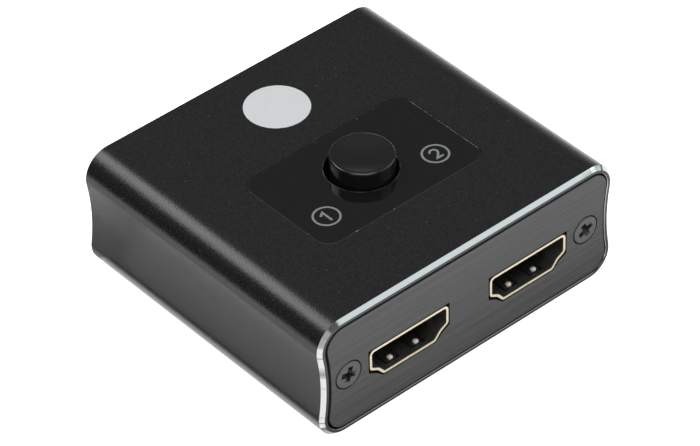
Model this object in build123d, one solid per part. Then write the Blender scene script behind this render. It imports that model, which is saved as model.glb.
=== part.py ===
"""Two-way HDMI switch box: an extruded aluminium sleeve with a panel at each end, two sockets in the
front, one in the rear, and a self-locking push button in a glossy inlay on the top.

Millimetres. +X is to the right seen from the front, +Y is from the front to the rear, +Z is up.
The origin is the middle of the underside."""
from build123d import *
from math import asin, atan2, cos, degrees, pi, sin, tan
import os

os.makedirs("parts", exist_ok=True)

# Sleeve
sleeve_width = 56.8          # over the bulges of the sides
sleeve_depth = 52.8
sleeve_height = 21.2
corner_radius = 4.3
waist_depth = 0.53           # how far each side is drawn in at mid height
sleeve_wall = 1.6
end_chamfer = 0.57
rim_width = 0.53             # rim between the chamfer and the panel pocket
pocket_chamfer = 0.06        # fine chamfer round the mouth of the pocket
board_ledge_reach = 1.0      # how far the board ledges reach under the board
board_ledge_height = 1.0
boss_wall = 1.05             # metal round each screw
boss_web_height = 1.8
overrun = 1.0                # how far every cut runs past the metal that it cuts

# End panels
panel_thickness = 1.5
panel_recess = 0.15          # panel face behind the end of the sleeve
panel_gap = 0.3              # play round the panel in its pocket
panel_aside = 0.26           # the outline sits this far to the right of its pocket's middle
panel_sag = 0.25             # and this far below it
panel_edge_radius = 0.12
socket_cutout_gap = 0.25     # play round a socket shell in its panel
cutout_step_drop = 0.3       # more play below the steps of the shell's lower corners

# Panel screws
screw_inset = 5.35           # screw axis from the side of the sleeve
screw_drop = 0.25            # axis below the middle of the sleeve's height
screw_head_diameter = 4.5
screw_head_rim = 0.3         # straight edge of the head above its cone
screw_head_edge = 0.2        # radius of the head's edge
screw_head_cone = 1.0
screw_thread_diameter = 2.5
screw_length = 8.0
screw_stand = 0.1            # head face in front of the panel face
screw_clearance = 0.03
screw_hole_clearance = 0.2
cross_length = 2.75
cross_width = 0.92
cross_depth = 1.1
cross_point = 0.9            # length of each arm at the bottom of the recess
left_cross_turn = -16
right_cross_turn = 24

# Sockets
socket_inner_share = 0.7043  # of the spare width beside a front socket, the part on its inner side
socket_drop = 1.3            # socket centre below the middle of the sleeve's height
shell_width = 15.0
shell_height = 5.55
shell_wall = 0.4
shell_length = 11.5
shell_mouth_recess = 0.15    # mouth behind the end of the sleeve
shell_side_bottom = 2.1      # lower end of the straight side, above the shell's underside
shell_step_inset = 1.45      # the step between the two slopes of the lower corner
shell_step_height = 1.3
shell_floor_inset = 2.55     # outer end of the flat underside
shell_top_fillet = 0.9
shell_side_fillet = 0.75
shell_leg_width = 1.1
shell_leg_below = 0.5        # leg below the board's underside
shell_leg_places = (3.4, 8.6)     # distance of the legs from the mouth
shell_flap_clear = 0.75      # rear flap above the board
shell_seam = 0.12            # seam in the middle of the underside
seam_depth = 0.18            # groove of the seam
retainer_spacing = 4.92      # between the two retention springs of a socket
retainer_width = 2.0
retainer_length = 4.4
retainer_start = 0.85        # free end of a spring behind the mouth
retainer_slot = 0.3
retainer_bump_place = 1.55   # centre of the bump behind the mouth
retainer_bump_radius = 0.55
retainer_bump_height = 0.5
tongue_width = 11.4
tongue_thickness = 1.2
tongue_start = 3.1           # tip of the tongue behind the mouth
tongue_rise = 0.2            # middle of the tongue above the socket centre
insulator_start = 8.0
insulator_end = 10.3
contact_pitch = 0.5
contact_width = 0.28
contact_thickness = 0.14
contact_tip_back = 0.4       # contact tips behind the tip of the tongue
contact_foot_length = 1.7
contact_count = 19
tail_window_margin = 0.4

# Circuit board
board_thickness = 1.6
board_side_gap = 0.67        # between the board and the narrowest part of each side wall
board_end_gap = 0.25         # between the board and each panel
board_slide_gap = 0.1        # between the board and its ledges
board_slot_gap = 0.2
board_corner_radius = 1.0

# Inlay
inlay_width = 31.2
inlay_length = 19.4
inlay_place = -3.85          # middle of the inlay along the depth
inlay_thickness = 0.5
inlay_corner_radius = 2.6
inlay_gap = 0.06
inlay_edge_chamfer = 0.08
tape_thickness = 0.1
tape_margin = 0.6            # adhesive kept back from the inlay's edges
left_number_place = -10.95
right_number_place = 9.95
number_row_place = -8.1

# Button
button_place = -3.45         # button axis along the depth
button_hole_behind = 0.3     # middle of the button hole behind the button axis
button_hole_diameter = 11.1
cap_diameter = 9.8
cap_rise = 2.83              # top of the cap above the inlay, button out
cap_drop = 2.8               # lower edge of the skirt below the top of the sleeve
cap_top_thickness = 1.2
cap_skirt_wall = 1.0
cap_dish_depth = 0.4
cap_land = 0.3               # flat ring round the dish
cap_edge_fillet = 0.35
cap_socket_wall = 1.1
cap_socket_depth = 3.4
button_travel = 2.2

# Self-locking switch
switch_width = 8.5
switch_base_height = 2.0
switch_cap_gap = 0.575       # between the switch and the cap, button right in
switch_cover_wall = 0.7
switch_cover_top = 0.8
plunger_width = 5.0
plunger_stem_width = 3.2
plunger_stop_gap = 0.05      # plunger under the cover, button out
plunger_reserve = 0.3        # plunger above the base, button right in
stem_clearance = 0.2
stem_top_clearance = 0.05
cap_grip_clearance = 0.02
spring_bore_diameter = 4.0
spring_bore_depth = 1.5
spring_diameter = 3.2        # middle of the wire
spring_wire = 0.34
spring_turns = 5
spring_seat_gap = 0.02
spring_post_diameter = 2.2
spring_post_height = 0.7
latch_wire = 0.4
latch_gap = 0.32             # between the latch leg and the plunger
latch_pivot_depth = 0.6      # pivot below the top of the base
latch_pivot_length = 1.3
latch_pivot_clearance = 0.05
latch_reach = 0.42           # how far the tip reaches into the cam groove
latch_swing_width = 1.15     # sideways travel of the tip
groove_depth = 0.6
groove_clearance = 0.1
groove_start = 0.6           # tip above the plunger's underside, button out
heart_notch_drop = 0.42
slider_width = 4.2
slider_height_share = 0.4    # of the height of the plunger's block
slider_thickness = 0.25
slider_pad_width = 0.8
slider_fit = 0.05
slider_lift_share = 0.1333   # of the same height, slider above the plunger's underside
terminal_pitch = 2.1
terminal_width = 0.7
terminal_thickness = 0.25
terminal_below = 1.0         # pin below the board's underside
terminal_height_shares = (0.5, 0.9, 0.9)     # of the room inside the cover

# Lamps and light guides
lamp_width = 1.6
lamp_depth = 0.8
lamp_height = 0.6
guide_diameter = 2.8
guide_clearance = 0.05
guide_collar_diameter = 4.2
guide_collar_height = 0.8
guide_lamp_gap = 0.3

# Signal chip
chip_width = 9.0
chip_height = 1.1
chip_lift = 0.1
chip_place_share = 0.5078    # of the way from the middle to the left side of the board
chip_row_gap = 0.75          # between the leads and the resistors
chip_chamfer = 0.25
chip_dimple_diameter = 0.9
chip_dimple_depth = 0.1
chip_dimple_inset = 1.2
lead_count = 12              # on each side
lead_pitch = 0.65
lead_width = 0.3
lead_thickness = 0.15
lead_shoulder = 0.35
lead_foot = 0.6
lead_exit_share = 0.5        # of the chip's height

# Chip capacitors and resistors
capacitor_length = 1.6
capacitor_width = 0.8
capacitor_height = 0.8
resistor_length = 1.6
resistor_width = 0.8
resistor_height = 0.5
small_part_pitch = 2.4
row_socket_gap = 2.75        # between each row and the sockets in front of it or behind it
small_part_count = 6         # in each row
small_part_row_middle = 12.0

# Places worked out from the sizes above
front = -sleeve_depth / 2
pocket_inset = end_chamfer + rim_width
screw_spacing = sleeve_width - 2 * screw_inset
screw_height = sleeve_height / 2 - screw_drop
socket_height = sleeve_height / 2 - socket_drop
panel_back = panel_recess + panel_thickness
board_top = socket_height - shell_height / 2
board_bottom = board_top - board_thickness
board_length = sleeve_depth - 2 * (panel_back + board_end_gap)
roof_underside = sleeve_height - sleeve_wall
inlay_floor = sleeve_height - inlay_thickness - tape_thickness
boss_radius = screw_thread_diameter / 2 + boss_wall
mouth_place = front + shell_mouth_recess
socket_spare = screw_spacing / 2 - boss_radius - shell_width
socket_spacing = shell_width + 2 * socket_inner_share * socket_spare     # of the front sockets
board_width = sleeve_width - 2 * (waist_depth + sleeve_wall + board_side_gap)
socket_end = mouth_place + shell_length
capacitor_row_place = socket_end + row_socket_gap + capacitor_length / 2
resistor_row_place = -socket_end - row_socket_gap - resistor_length / 2
chip_reach = chip_width / 2 + lead_shoulder + lead_foot
chip_place_x = -chip_place_share * board_width / 2
chip_place_y = resistor_row_place - resistor_length / 2 - chip_row_gap - chip_reach
base_top = board_top + switch_base_height
hole_place = button_place + button_hole_behind
cap_top = sleeve_height + cap_rise
cap_bottom = sleeve_height - cap_drop
switch_cover_height = cap_bottom - button_travel - switch_cap_gap - base_top
cover_room = switch_cover_height - switch_cover_top
plunger_top = base_top + cover_room - plunger_stop_gap
plunger_bottom = base_top + plunger_reserve + button_travel
block_height = plunger_top - plunger_bottom
slider_height = slider_height_share * block_height
slider_lift = slider_lift_share * block_height
stem_top = cap_bottom + cap_socket_depth - stem_top_clearance
switch_inside = switch_width / 2 - switch_cover_wall
latch_place = plunger_width / 2 + latch_gap + latch_wire / 2
latch_pivot = base_top - latch_pivot_depth
latch_tip = plunger_bottom + groove_start
latch_length = latch_tip - latch_pivot
latch_angle = asin(latch_swing_width / latch_length)


def along_depth(sketch, start, length):
    """Solid of a sketch whose x is X and whose y is Z, from Y = start over a length to the rear."""
    return Pos(0, start, 0) * extrude(Plane.XZ * sketch, amount=-length)


def upward(sketch, start, length):
    """Solid of a sketch whose x is X and whose y is Y, from Z = start upward over a length."""
    return Pos(0, 0, start) * extrude(sketch, amount=length)


def both_ends(solid):
    """The solid as it lies at the front, and the same turned round for the rear."""
    return [solid, Rot(0, 0, 180) * solid]


def group(solids):
    """Separate solids of one node."""
    return Compound([solid for shape in solids for solid in shape.solids()])


# Sleeve section: flat top and underside, round corners, sides drawn in along one large arc
def waisted_section(inset):
    """Section of the sleeve with every edge moved inward by inset. The waist arc touches both corner
    arcs, so with centre distance h and corner centre u inside the waist its radius is
    (h h + u u - r r) / (2 (r - u))."""
    corner_x = sleeve_width / 2 - corner_radius
    corner_z = sleeve_height / 2 - corner_radius
    inner = corner_radius - waist_depth
    waist_radius = (corner_z**2 + inner**2 - corner_radius**2) / (2 * waist_depth)
    waist_x = sleeve_width / 2 - waist_depth + waist_radius
    turn = atan2(corner_z, waist_x - corner_x)
    radius = corner_radius - inset
    middle = (pi / 2 - turn) / 2

    def corner_point(angle):
        return (corner_x + radius * cos(angle), corner_z + radius * sin(angle))

    upper = ThreePointArc(corner_point(pi / 2), corner_point(middle), corner_point(-turn))
    end_x, end_z = corner_point(-turn)
    narrow_x = sleeve_width / 2 - waist_depth - inset
    waist = ThreePointArc((end_x, end_z), (narrow_x, 0), (end_x, -end_z))
    side = Curve() + [upper, waist, mirror(upper, Plane.XZ)]
    flat_z = sleeve_height / 2 - inset
    top = Line((-corner_x, flat_z), (corner_x, flat_z))
    loop = Curve() + [top, side, mirror(top, Plane.XZ), mirror(side, Plane.YZ)]
    return Pos(0, sleeve_height / 2) * make_face(loop)


def ledge(low, high):
    """Rib of both side walls between two heights, that reaches as far in as the board's ledges."""
    reach_x = board_width / 2 - board_ledge_reach
    width = sleeve_width / 2 - reach_x
    ribs = Sketch()
    for side in (-1, 1):
        ribs += Pos(side * (reach_x + width / 2), (low + high) / 2) * Rectangle(width, high - low)
    return ribs


def build_sleeve():
    tube = along_depth(waisted_section(0), front, sleeve_depth)
    by_depth = tube.faces().sort_by(Axis.Y)
    tube = chamfer(by_depth[0].edges() + by_depth[-1].edges(), end_chamfer)
    void = waisted_section(sleeve_wall)
    for side in (-1, 1):
        web_length = sleeve_width / 2 - screw_spacing / 2
        void -= Pos(side * screw_spacing / 2, screw_height) * Circle(boss_radius)
        void -= Pos(side * (screw_spacing + web_length) / 2, screw_height) * Rectangle(
            web_length, boss_web_height)
    under_board = board_bottom - board_slide_gap
    over_board = board_top + board_slide_gap
    void -= ledge(under_board - board_ledge_height, under_board)
    void -= ledge(over_board, over_board + board_ledge_height)
    tube -= along_depth(void, front - overrun, sleeve_depth + 2 * overrun)
    pocket = along_depth(waisted_section(pocket_inset), front, panel_back)
    mouth = loft([Plane.XZ.offset(-front) * waisted_section(pocket_inset - pocket_chamfer),
                  Plane.XZ.offset(-front - pocket_chamfer) * waisted_section(pocket_inset)])
    tube -= both_ends(pocket + mouth)
    pilot = Circle(screw_thread_diameter / 2 + screw_clearance)
    for side in (-1, 1):
        hole = Pos(side * screw_spacing / 2, screw_height) * pilot
        tube -= along_depth(hole, front, sleeve_depth)
    recess = RectangleRounded(inlay_width, inlay_length, inlay_corner_radius)
    tube -= upward(Pos(0, inlay_place) * recess, inlay_floor, inlay_thickness + tape_thickness + overrun)
    hole = Pos(0, hole_place) * Circle(button_hole_diameter / 2 + tape_margin)
    for place in (left_number_place, right_number_place):
        hole += Pos(place, number_row_place) * Circle(guide_diameter / 2 + guide_clearance)
    tube -= upward(hole, roof_underside - overrun, sleeve_wall + 2 * overrun)
    return tube


# Socket profile, the same for the shells, the panel openings and the insulators
def socket_points(step_drop):
    """Right half of the shell's outer outline with sharp corners, from the top to the underside,
    measured from the socket centre, with the step of its lower corner lowered by step_drop."""
    low = -shell_height / 2
    side = shell_width / 2
    return [
        (side, shell_height / 2),
        (side, low + shell_side_bottom - step_drop),
        (side - shell_step_inset, low + shell_step_height - step_drop),
        (side - shell_floor_inset, low),
    ]


def sharp_socket(grow, step_drop=0):
    """Socket outline with sharp corners, every edge moved outward by grow."""
    right = socket_points(step_drop)
    left = [(-x, z) for x, z in reversed(right)]
    outline = make_face(Polyline(*right, *left, close=True))
    return offset(outline, grow, kind=Kind.INTERSECTION) if grow else outline


def rounded_socket():
    """Outer outline of the shell with its bent corners."""
    outline = sharp_socket(0)
    corners = outline.vertices().sort_by(Axis.Y)
    outline = fillet(corners[-2:], shell_top_fillet)
    lower = [v for v in outline.vertices() if v.Y < shell_height / 2 - 2 * shell_top_fillet]
    return fillet(lower, shell_side_fillet)


# End panels
def screw_hole():
    """Countersunk hole along Z with its mouth at the height of the panel face."""
    rim = screw_head_diameter / 2 + screw_hole_clearance
    straight = screw_head_rim - screw_stand
    shank = screw_thread_diameter / 2 + screw_hole_clearance
    hole = Pos(0, 0, (overrun - straight) / 2) * Cylinder(rim, straight + overrun)
    hole += Pos(0, 0, -straight - screw_head_cone / 2) * Cone(shank, rim, screw_head_cone)
    hole += Pos(0, 0, -panel_thickness / 2) * Cylinder(shank, panel_thickness + 2 * overrun)
    return hole


def build_panel(socket_places):
    """Panel at the front of the sleeve, with a socket opening at each place along X."""
    section = Pos(panel_aside, -panel_sag) * waisted_section(pocket_inset + panel_gap)
    panel = along_depth(section, front + panel_recess, panel_thickness)
    panel = fillet(panel.faces().sort_by(Axis.Y)[0].edges(), panel_edge_radius)
    opening = sharp_socket(socket_cutout_gap, cutout_step_drop)
    for place in socket_places:
        cut = along_depth(Pos(place, socket_height) * opening, front, panel_back + overrun)
        panel -= cut
    for side in (-1, 1):
        place = Pos(side * screw_spacing / 2, front + panel_recess, screw_height)
        panel -= place * Rot(90, 0, 0) * screw_hole()
    return panel


# Panel screws: countersunk, with a cross recess
def build_screw(cross_turn):
    """Screw along Z, its head face as far above the panel face as the head stands out, thread
    downward."""
    rim = screw_head_diameter / 2
    shank = screw_thread_diameter / 2
    screw = Pos(0, 0, -screw_head_rim / 2) * Cylinder(rim, screw_head_rim)
    screw = fillet(screw.edges().group_by(Axis.Z)[-1], screw_head_edge)
    screw += Pos(0, 0, -screw_head_rim - screw_head_cone / 2) * Cone(shank, rim, screw_head_cone)
    screw += Pos(0, 0, -screw_length / 2) * Cylinder(shank, screw_length)
    arm = loft([Rectangle(cross_length, cross_width),
                Pos(0, 0, -cross_depth) * Rectangle(cross_point, cross_width)])
    for turn in (cross_turn, cross_turn + 90):
        screw -= Rot(0, 0, turn) * arm
    return Pos(0, 0, screw_stand) * screw


def front_screws():
    turns = {-1: left_cross_turn, 1: right_cross_turn}
    places = [(side * screw_spacing / 2, turns[side]) for side in (-1, 1)]
    face = front + panel_recess
    return group([Pos(x, face, screw_height) * Rot(90, 0, 0) * build_screw(turn) for x, turn in places])


# Sockets, built with the mouth at Y = 0 and the rear toward +Y, centred on X and Z
def retainer_places():
    return (-retainer_spacing / 2, retainer_spacing / 2)


def build_shell():
    outer = rounded_socket()
    inner = offset(outer, -shell_wall)
    shell = along_depth(outer - inner, 0, shell_length)
    low = -shell_height / 2
    floor_middle = low + shell_wall / 2
    slot_outer_width = retainer_width + 2 * retainer_slot
    slot_length = retainer_length + retainer_slot
    slot_middle = retainer_start + slot_length / 2
    spring_middle = retainer_start + retainer_slot + retainer_length / 2
    for level in (floor_middle, -floor_middle):
        for place in retainer_places():
            slot = Pos(place, slot_middle, level) * Box(slot_outer_width, slot_length, 2 * shell_wall)
            slot -= Pos(place, spring_middle, level) * Box(retainer_width, retainer_length, 4 * shell_wall)
            shell -= slot
    bump_sphere = (retainer_bump_radius**2 + retainer_bump_height**2) / (2 * retainer_bump_height)
    for place in retainer_places():
        top = low + shell_wall + retainer_bump_height
        ball = Pos(place, retainer_bump_place, top - bump_sphere) * Sphere(bump_sphere)
        keep_height = retainer_bump_height + shell_wall / 2
        keep = Pos(place, retainer_bump_place, top - keep_height / 2) * Box(
            2 * bump_sphere, 2 * bump_sphere, keep_height)
        shell += ball & keep
    shell -= Pos(0, shell_length / 2, low) * Box(shell_seam, shell_length, 2 * seam_depth)
    window_width = contact_pitch * contact_count + 2 * tail_window_margin
    window_length = shell_length - insulator_end + tail_window_margin
    shell -= Pos(0, shell_length - window_length / 2, floor_middle) * Box(
        window_width, window_length, 2 * shell_wall)
    flap_height = shell_height - shell_wall - shell_flap_clear
    flap_z = shell_height / 2 - shell_wall - flap_height / 2
    flap = Pos(0, shell_length - shell_wall / 2, flap_z) * Box(
        shell_width - 2 * shell_wall, shell_wall, flap_height)
    shell += flap & along_depth(outer, 0, shell_length)
    leg_top = low + shell_side_bottom + shell_side_fillet
    leg_bottom = low - board_thickness - shell_leg_below
    for side in (-1, 1):
        for place in shell_leg_places:
            leg = Box(shell_wall, shell_leg_width, leg_top - leg_bottom)
            shell += Pos(side * (shell_width - shell_wall) / 2, place, (leg_top + leg_bottom) / 2) * leg
    return shell


def build_contacts():
    """Contact strips on both faces of the tongue, each bent down at the rear and out to a foot."""
    strips = []
    foot_z = -shell_height / 2
    start = tongue_start + contact_tip_back
    for number in range(contact_count):
        upper = number % 2 == 0
        x = (number - (contact_count - 1) / 2) * contact_pitch
        face = tongue_rise + (tongue_thickness / 2 if upper else -tongue_thickness / 2)
        low, high = (face - contact_thickness, face) if upper else (face, face + contact_thickness)
        back = insulator_end + contact_thickness
        strip = Pos(x, (start + back) / 2, (low + high) / 2) * Box(
            contact_width, back - start, contact_thickness)
        strip += Pos(x, back - contact_thickness / 2, (high + foot_z) / 2) * Box(
            contact_width, contact_thickness, high - foot_z)
        strip += Pos(x, insulator_end + contact_foot_length / 2, foot_z + contact_thickness / 2) * Box(
            contact_width, contact_foot_length, contact_thickness)
        strips.append(strip)
    return group(strips)


def build_insulator(contacts):
    """Black moulding that fills the rear of the shell, with the tongue that carries the contacts."""
    inner = offset(rounded_socket(), -shell_wall)
    block = along_depth(inner, insulator_start, insulator_end - insulator_start)
    tongue_length = insulator_start - tongue_start
    block += Pos(0, tongue_start + tongue_length / 2, tongue_rise) * Box(
        tongue_width, tongue_length, tongue_thickness)
    return block - contacts


# Circuit board
def switch_pin_places():
    """X and Y of the six switch terminals, from the button axis."""
    strip_y = switch_inside - terminal_thickness / 2
    return [(column * terminal_pitch, row * strip_y) for row in (-1, 1) for column in (-1, 0, 1)]


def build_board(socket_moves):
    outline = RectangleRounded(board_width, board_length, board_corner_radius)
    board = upward(outline, board_bottom, board_thickness)
    slot_x = (shell_width - shell_wall) / 2
    slots = Part()
    for side in (-1, 1):
        for place in shell_leg_places:
            slots += Pos(side * slot_x, place, 0) * Box(
                shell_wall + 2 * board_slot_gap, shell_leg_width + 2 * board_slot_gap, sleeve_height)
    for move in socket_moves:
        board -= move * slots
    for x, y in switch_pin_places():
        board -= Pos(x, button_place + y, board_bottom) * Box(
            terminal_width + 2 * board_slot_gap, terminal_thickness + 2 * board_slot_gap,
            2 * board_thickness + overrun)
    return board


# Inlay and its adhesive
def build_inlay():
    outline = RectangleRounded(inlay_width - 2 * inlay_gap, inlay_length - 2 * inlay_gap,
                               inlay_corner_radius - inlay_gap)
    plate = Pos(0, inlay_place) * outline - Pos(0, hole_place) * Circle(button_hole_diameter / 2)
    inlay = upward(plate, sleeve_height - inlay_thickness, inlay_thickness)
    top_edges = inlay.faces().sort_by(Axis.Z)[-1].edges()
    return chamfer(top_edges, inlay_edge_chamfer)


def build_tape():
    outline = RectangleRounded(inlay_width - 2 * tape_margin, inlay_length - 2 * tape_margin,
                               inlay_corner_radius - tape_margin)
    sheet = Pos(0, inlay_place) * outline
    sheet -= Pos(0, hole_place) * Circle(button_hole_diameter / 2 + 2 * tape_margin)
    for place in (left_number_place, right_number_place):
        sheet -= Pos(place, number_row_place) * Circle(guide_diameter / 2 + tape_margin)
    return upward(sheet, inlay_floor, tape_thickness)


# Button cap, a cup with a slightly dished top and a square socket for the plunger's stem
def build_cap():
    radius = cap_diameter / 2
    height = cap_top - cap_bottom
    cap = upward(Circle(radius), cap_bottom, height)
    hollow = Circle(radius - cap_skirt_wall) - Circle(plunger_stem_width / 2 + cap_socket_wall)
    cap -= upward(hollow, cap_bottom - overrun, height - cap_top_thickness + overrun)
    socket_width = plunger_stem_width + 2 * cap_grip_clearance
    cap -= upward(Rectangle(socket_width, socket_width), cap_bottom - overrun, cap_socket_depth + overrun)
    cap = fillet(cap.edges().group_by(Axis.Z)[-1], cap_edge_fillet)
    dish_radius = radius - cap_edge_fillet - cap_land
    ball_radius = (dish_radius**2 + cap_dish_depth**2) / (2 * cap_dish_depth)
    cap -= Pos(0, 0, cap_top - cap_dish_depth + ball_radius) * Sphere(ball_radius)
    return Pos(0, button_place, 0) * cap


# Self-locking switch, built round the button axis
def build_terminals():
    """Six flat pins that run up the inside of the cover, in two rows of three."""
    pins = []
    low = board_bottom - terminal_below
    for number, (x, y) in enumerate(switch_pin_places()):
        high = base_top + cover_room * terminal_height_shares[number % 3]
        pins.append(Pos(x, y, (low + high) / 2) * Box(terminal_width, terminal_thickness, high - low))
    return group(pins)


def build_switch_base(terminals):
    """Base with the spring post, the slots of the terminals, and the latch pin's bearing and notch."""
    base = upward(Rectangle(switch_width, switch_width), board_top, switch_base_height)
    base += upward(Circle(spring_post_diameter / 2), base_top, spring_post_height)
    notch_inner = latch_place - latch_wire / 2 - latch_gap / 2
    notch_length = switch_inside - notch_inner
    notch_half = latch_wire / 2 + latch_gap
    notch_depth = latch_pivot_depth + latch_wire / 2 + latch_gap
    notch_width = 2 * (notch_half + latch_pivot_depth * tan(latch_angle))
    base -= Pos(notch_inner + notch_length / 2, 0, base_top - notch_depth / 2) * Box(
        notch_length, notch_width, notch_depth)
    bearing = Cylinder(latch_wire / 2 + latch_pivot_clearance, latch_pivot_length)
    base -= Pos(latch_place - latch_pivot_length / 2, 0, latch_pivot) * Rot(0, 90, 0) * bearing
    return base - terminals


def build_switch_cover():
    cover = upward(Rectangle(switch_width, switch_width), base_top, switch_cover_height)
    room = Rectangle(2 * switch_inside, 2 * switch_inside)
    cover -= upward(room, base_top, cover_room)
    stem_hole = plunger_stem_width + 2 * stem_clearance
    cover -= upward(Rectangle(stem_hole, stem_hole), base_top, switch_cover_height + overrun)
    return cover


def heart_groove():
    """Heart-shaped cam groove, drawn with x across and y upward from the plunger's underside. The tip
    starts at the lower point, climbs one side as the plunger goes down, and rests in the notch."""
    width = latch_wire + 2 * groove_clearance
    start = Vector(0, groove_start)
    sink = latch_length * (1 - cos(latch_angle))
    upper = groove_start + button_travel - sink
    notch = Vector(0, upper - heart_notch_drop)
    groove = Sketch()
    for side in (-1, 1):
        corner = Vector(side * latch_swing_width, upper)
        for a, b in ((start, corner), (corner, notch)):
            run = b - a
            turn = degrees(atan2(run.Y, run.X))
            middle = (a + b) / 2
            groove += Pos(middle.X, middle.Y) * Rot(0, 0, turn) * SlotCenterToCenter(run.length, width)
    return groove


def build_plunger():
    plunger = upward(Rectangle(plunger_width, plunger_width), plunger_bottom, block_height)
    stem = Rectangle(plunger_stem_width, plunger_stem_width)
    plunger += upward(stem, plunger_top, stem_top - plunger_top)
    bore = Circle(spring_bore_diameter / 2)
    plunger -= upward(bore, plunger_bottom - overrun, spring_bore_depth + overrun)
    side_plane = Plane(origin=(plunger_width / 2, 0, plunger_bottom), x_dir=(0, 1, 0), z_dir=(1, 0, 0))
    plunger -= extrude(side_plane * heart_groove(), amount=-groove_depth)
    return plunger


def build_sliders():
    """Two bridging contacts on the front and rear faces of the plunger, with two pads each."""
    sliders = []
    middle = plunger_bottom + slider_lift + slider_height / 2
    face = plunger_width / 2
    pad_reach = switch_inside - terminal_thickness - slider_fit
    for side in (-1, 1):
        slider = Pos(0, side * (face + slider_thickness / 2), middle) * Box(
            slider_width, slider_thickness, slider_height)
        pad_y = side * (face + pad_reach) / 2
        for column in (0, 1):
            slider += Pos(column * terminal_pitch, pad_y, middle) * Box(
                slider_pad_width, pad_reach - face, slider_height / 2)
        sliders.append(slider)
    return group(sliders)


def build_latch_pin():
    """Bent wire: a pivot stub in the base, a leg beside the plunger, a tip in the cam groove."""
    tip_end = plunger_width / 2 - latch_reach
    radius = latch_wire / 2
    leg = Pos(latch_place, 0, (latch_pivot + latch_tip) / 2) * Cylinder(radius, latch_length)
    stub = Pos(latch_place - latch_pivot_length / 2, 0, latch_pivot) * Rot(0, 90, 0) * Cylinder(
        radius, latch_pivot_length)
    tip_length = latch_place - tip_end
    tip = Pos(latch_place - tip_length / 2, 0, latch_tip) * Rot(0, 90, 0) * Cylinder(radius, tip_length)
    pin = leg + stub + tip
    for z in (latch_pivot, latch_tip):
        pin += Pos(latch_place, 0, z) * Sphere(radius)
    return pin


def build_return_spring():
    """Compression spring between the base and the bore of the plunger, as one round wire."""
    low = base_top + spring_wire / 2 + spring_seat_gap
    high = plunger_bottom + spring_bore_depth - spring_wire / 2 - spring_seat_gap
    path = Pos(0, 0, low) * Helix((high - low) / spring_turns, high - low, spring_diameter / 2)
    section = Plane(origin=path @ 0, z_dir=path % 0) * Circle(spring_wire / 2)
    least_gap = (high - low) / spring_turns - spring_wire
    print(f"return spring: {spring_turns} turns, least gap between turns {least_gap:.2f} mm")
    return sweep(section, path=path)


# Lamps and light guides under the two numbers
def build_lamps():
    body = Box(lamp_width, lamp_depth, lamp_height)
    places = (left_number_place, right_number_place)
    return group([Pos(x, number_row_place, board_top + lamp_height / 2) * body for x in places])


def build_guides():
    low = board_top + lamp_height + guide_lamp_gap
    guides = []
    for x in (left_number_place, right_number_place):
        guide = upward(Circle(guide_diameter / 2), low, inlay_floor - low)
        guide += upward(Circle(guide_collar_diameter / 2), roof_underside - guide_collar_height,
                        guide_collar_height)
        guides.append(Pos(x, number_row_place, 0) * guide)
    return group(guides)


# Signal chip with its leads
def build_chip():
    body = Box(chip_width, chip_width, chip_height)
    body = chamfer(body.edges().group_by(Axis.Z)[-1], chip_chamfer)
    corner = -chip_width / 2 + chip_dimple_inset
    body -= Pos(corner, corner, chip_height / 2) * Cylinder(chip_dimple_diameter / 2, 2 * chip_dimple_depth)
    return Pos(chip_place_x, chip_place_y, board_top + chip_lift + chip_height / 2) * body


def build_chip_leads():
    """Gull-wing leads on the four sides of the chip."""
    exit_z = board_top + chip_lift + chip_height * lead_exit_share
    edge = chip_width / 2
    knee = edge + lead_shoulder
    drop = exit_z - board_top
    one = Pos(edge + lead_shoulder / 2, 0, exit_z) * Box(lead_shoulder, lead_width, lead_thickness)
    leg_height = drop + lead_thickness / 2
    one += Pos(knee + lead_thickness / 2, 0, board_top + leg_height / 2) * Box(
        lead_thickness, lead_width, leg_height)
    one += Pos(knee + lead_foot / 2, 0, board_top + lead_thickness / 2) * Box(
        lead_foot, lead_width, lead_thickness)
    leads = []
    for quarter in range(4):
        for number in range(lead_count):
            shift = (number - (lead_count - 1) / 2) * lead_pitch
            leads.append(Rot(0, 0, 90 * quarter) * Pos(0, shift, 0) * one)
    return group([Pos(chip_place_x, chip_place_y, 0) * lead for lead in leads])


# Chip capacitors behind the front sockets, chip resistors before the rear socket
def small_row(length, width, height, row_place):
    """A row of small parts on each half of the board."""
    parts = []
    for side in (-1, 1):
        for number in range(small_part_count):
            shift = (number - (small_part_count - 1) / 2) * small_part_pitch
            x = side * small_part_row_middle + shift
            parts.append(Pos(x, row_place, board_top + height / 2) * Box(width, length, height))
    return group(parts)


# Assembly
half_spacing = socket_spacing / 2
socket_moves = {
    "left_socket": Pos(-half_spacing, mouth_place, socket_height),
    "right_socket": Pos(half_spacing, mouth_place, socket_height),
    "rear_socket": Rot(0, 0, 180) * Pos(0, mouth_place, socket_height),
}
at_button = Pos(0, button_place, 0)
shell_piece = build_shell()
contact_pieces = build_contacts()
insulator_piece = build_insulator(contact_pieces)
terminal_pieces = build_terminals()
screw_pieces = front_screws()

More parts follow.
